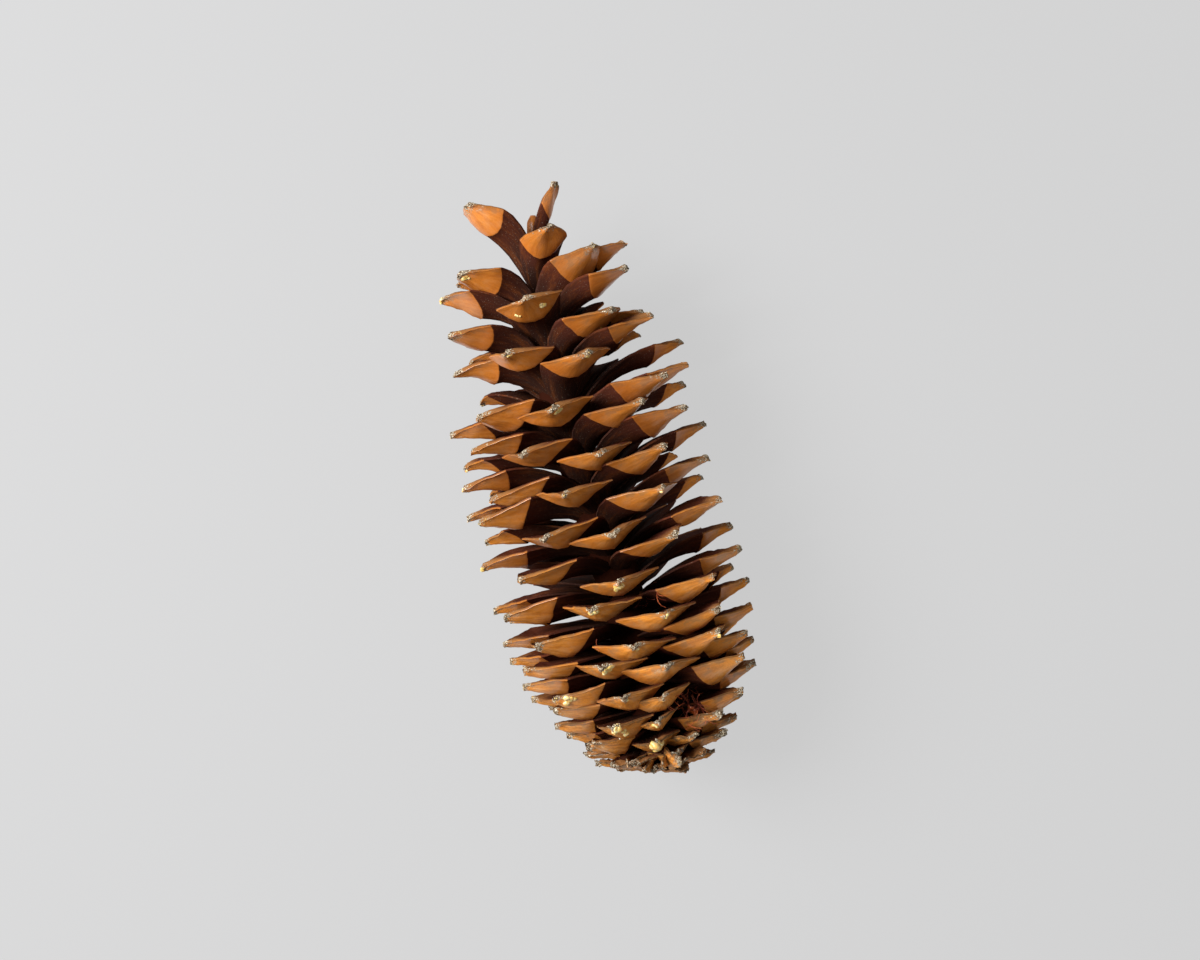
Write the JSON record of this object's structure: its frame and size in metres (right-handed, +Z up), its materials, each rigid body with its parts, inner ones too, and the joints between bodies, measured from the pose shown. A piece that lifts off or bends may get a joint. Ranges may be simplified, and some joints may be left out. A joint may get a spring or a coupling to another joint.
{
  "type": "sugar pine cone",
  "caption": "Long, curved, open pine cone lying on its side: woody spatulate scales set in one spiral round a core, with a small bud at the apex.",
  "frame": {"origin": "middle of the underside of the cone's box, on the surface that it lies on", "axes": "+Z up, +Y from the stem end to the apex, +X to the right when looking down with the apex away"},
  "size_m": [0.1572, 0.2912, 0.1246],
  "materials": {
    "scale_wood": "dry, tan on the exposed scale faces and dark brown where one scale covered the next",
    "resin": "dried drops of pale resin",
    "fibre": "torn reddish wood fibre"
  },
  "bodies": {
    "root": {"cone": "scale_wood"}
  },
  "joints": []
}
